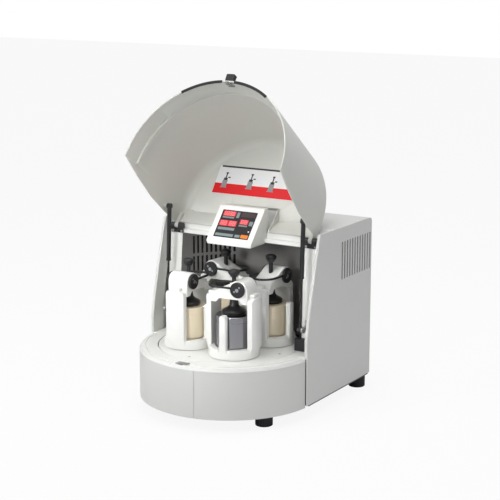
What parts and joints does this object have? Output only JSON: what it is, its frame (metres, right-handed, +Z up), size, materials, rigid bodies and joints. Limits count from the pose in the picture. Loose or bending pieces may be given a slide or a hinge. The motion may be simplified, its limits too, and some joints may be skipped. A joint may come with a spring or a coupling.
{
  "type": "planetary ball mill",
  "caption": "Bench planetary ball mill with a tilting half-round hood on gas struts, counter-rotating clamped grinding stations on a disc, and a wedge-shaped keypad console.",
  "frame": {"origin": "centre of the footprint, on the bench surface", "axes": "+X to the machine's left-to-right as seen by the operator, +Y from the operator towards the rear, +Z up"},
  "size_m": [0.58, 0.689, 1.0422],
  "materials": {
    "housing_paint": "semi-matt",
    "inner_paint": "satin",
    "holder_paint": "satin",
    "frame_steel": "matt",
    "foot_rubber": "matt",
    "seal_rubber": "matt",
    "belt_rubber": "matt",
    "keypad_film": "satin film",
    "shaft_steel": "machined",
    "motor_paint": "matt",
    "black_metal": "satin",
    "black_plastic": "matt",
    "clamp_black": "satin",
    "latch_metal": "brushed",
    "label_film": "printed film",
    "bowl_steel": "turned",
    "bowl_ceramic": "fine sintered"
  },
  "bodies": {
    "housing": {"skirt_left": "housing_paint", "skirt_right": "housing_paint", "side_panel_left": "housing_paint", "side_panel_right": "housing_paint", "rear_cover": "housing_paint", "deck_plate": "inner_paint", "chamber_liner": "inner_paint", "crossbeam": "inner_paint", "console_housing": "inner_paint", "base_frame": "frame_steel", "spindle_housing": "frame_steel", "feet": "foot_rubber", "keypad": "keypad_film", "bracket_screws": "shaft_steel", "strut_studs": "shaft_steel", "drive_belt": "belt_rubber", "motor": "motor_paint", "hinge_brackets": "black_metal", "interlock_block": "black_plastic", "power_inlet": "black_plastic", "latch_plate": "latch_metal"},
    "disc": {"main_disc": "inner_paint", "drive_shaft": "shaft_steel", "disc_screws": "shaft_steel", "planet_belts": "belt_rubber"},
    "hood": {"hood_shell": "housing_paint", "hood_seals": "seal_rubber", "hood_handle": "black_plastic", "latch_hook": "latch_metal", "label_plate": "label_film"},
    "motor_rotor": {"motor_pulley": "shaft_steel"},
    "switch": {"power_switch": "black_plastic"},
    "rod_left": {"strut_rod_left": "black_metal"},
    "rod_right": {"strut_rod_right": "black_metal"},
    "tube_left": {"strut_tube_left": "black_metal"},
    "tube_right": {"strut_tube_right": "black_metal"},
    "planet_left": {"holder_left": "holder_paint", "bowl_left": "bowl_ceramic", "lid_left": "bowl_ceramic", "bridge_left": "holder_paint"},
    "clamp_left": {"clamp_screw_left": "clamp_black"},
    "lock_left": {"lever_left": "clamp_black"},
    "planet_front": {"holder_front": "holder_paint", "bowl_front": "bowl_steel", "lid_front": "bowl_steel", "bridge_front": "holder_paint"},
    "clamp_front": {"clamp_screw_front": "clamp_black"},
    "lock_front": {"lever_front": "clamp_black"},
    "planet_right": {"holder_right": "holder_paint", "bowl_right": "bowl_ceramic", "lid_right": "bowl_ceramic", "bridge_right": "holder_paint"},
    "clamp_right": {"clamp_screw_right": "clamp_black"},
    "lock_right": {"lever_right": "clamp_black"},
    "planet_back": {"holder_back": "holder_paint", "bowl_back": "bowl_ceramic", "lid_back": "bowl_ceramic", "bridge_back": "holder_paint"},
    "clamp_back": {"clamp_screw_back": "clamp_black"},
    "lock_back": {"lever_back": "clamp_black"}
  },
  "joints": [
    {"name": "hood_swing", "type": "hinge", "parent": "housing", "child": "hood", "pos_m": [0, 0.016, 0.54], "axis": [-1, 0, 0], "range_deg": [-125, 0]},
    {"name": "strut_left_swing", "type": "hinge", "parent": "housing", "child": "rod_left", "pos_m": [-0.246, -0.046, 0.273], "axis": [-1, 0, 0], "range_deg": [0, 7]},
    {"name": "strut_left_slide", "type": "slide", "parent": "rod_left", "child": "tube_left", "axis": [0, 0.0476, 0.9989], "range_m": [-0.145, 0]},
    {"name": "strut_right_swing", "type": "hinge", "parent": "housing", "child": "rod_right", "pos_m": [0.246, -0.046, 0.273], "axis": [-1, 0, 0], "range_deg": [0, 7]},
    {"name": "strut_right_slide", "type": "slide", "parent": "rod_right", "child": "tube_right", "axis": [0, 0.0476, 0.9989], "range_m": [-0.145, 0]},
    {"name": "disc_spin", "type": "hinge", "parent": "housing", "child": "disc", "pos_m": [0, -0.058, 0.194], "axis": [0, 0, 1], "continuous": true},
    {"name": "motor_spin", "type": "hinge", "parent": "housing", "child": "motor_rotor", "pos_m": [0, 0.26, 0.065], "axis": [0, 0, 1], "continuous": true},
    {"name": "planet_left_spin", "type": "hinge", "parent": "disc", "child": "planet_left", "pos_m": [-0.10165, -0.13742, 0.194], "axis": [0, 0, 1], "continuous": true},
    {"name": "clamp_left_turn", "type": "hinge", "parent": "planet_left", "child": "clamp_left", "pos_m": [-0.10165, -0.13742, 0.3995], "axis": [0, 0, 1], "range_deg": [0, 360]},
    {"name": "lever_left_lift", "type": "hinge", "parent": "planet_left", "child": "lock_left", "pos_m": [-0.10165, -0.16942, 0.4115], "axis": [1, 0, 0], "range_deg": [0, 55]},
    {"name": "planet_front_spin", "type": "hinge", "parent": "disc", "child": "planet_front", "pos_m": [0.07942, -0.15965, 0.194], "axis": [0, 0, 1], "continuous": true},
    {"name": "clamp_front_turn", "type": "hinge", "parent": "planet_front", "child": "clamp_front", "pos_m": [0.07942, -0.15965, 0.3995], "axis": [0, 0, 1], "range_deg": [0, 360]},
    {"name": "lever_front_lift", "type": "hinge", "parent": "planet_front", "child": "lock_front", "pos_m": [0.11132, -0.15709, 0.4115], "axis": [-0.0802, 0.9968, 0], "range_deg": [0, 55]},
    {"name": "planet_right_spin", "type": "hinge", "parent": "disc", "child": "planet_right", "pos_m": [0.10165, 0.02142, 0.194], "axis": [0, 0, 1], "continuous": true},
    {"name": "clamp_right_turn", "type": "hinge", "parent": "planet_right", "child": "clamp_right", "pos_m": [0.10165, 0.02142, 0.3995], "axis": [0, 0, 1], "range_deg": [0, 360]},
    {"name": "lever_right_lift", "type": "hinge", "parent": "planet_right", "child": "lock_right", "pos_m": [0.10277, 0.0534, 0.4115], "axis": [-0.9994, 0.0349, 0], "range_deg": [0, 55]},
    {"name": "planet_back_spin", "type": "hinge", "parent": "disc", "child": "planet_back", "pos_m": [-0.07942, 0.04365, 0.194], "axis": [0, 0, 1], "continuous": true},
    {"name": "clamp_back_turn", "type": "hinge", "parent": "planet_back", "child": "clamp_back", "pos_m": [-0.07942, 0.04365, 0.3995], "axis": [0, 0, 1], "range_deg": [0, 360]},
    {"name": "lever_back_lift", "type": "hinge", "parent": "planet_back", "child": "lock_back", "pos_m": [-0.1114, 0.04477, 0.4115], "axis": [-0.0349, -0.9994, 0], "range_deg": [0, 55]},
    {"name": "power_rocker", "type": "hinge", "parent": "housing", "child": "switch", "pos_m": [-0.111, 0.335, 0.1], "axis": [1, 0, 0], "range_deg": [0, 14]}
  ],
  "couplings": [
    {"joint": "strut_left_swing", "follows": "hood_swing", "ratio": -0.05445},
    {"joint": "strut_left_slide", "follows": "hood_swing", "m_per_rad": 0.065996},
    {"joint": "strut_right_swing", "follows": "hood_swing", "ratio": -0.05445},
    {"joint": "strut_right_slide", "follows": "hood_swing", "m_per_rad": 0.065996},
    {"joint": "motor_spin", "follows": "disc_spin", "ratio": 2.5},
    {"joint": "planet_left_spin", "follows": "disc_spin", "ratio": -2.19},
    {"joint": "planet_front_spin", "follows": "disc_spin", "ratio": -2.19},
    {"joint": "planet_right_spin", "follows": "disc_spin", "ratio": -2.19},
    {"joint": "planet_back_spin", "follows": "disc_spin", "ratio": -2.19}
  ]
}
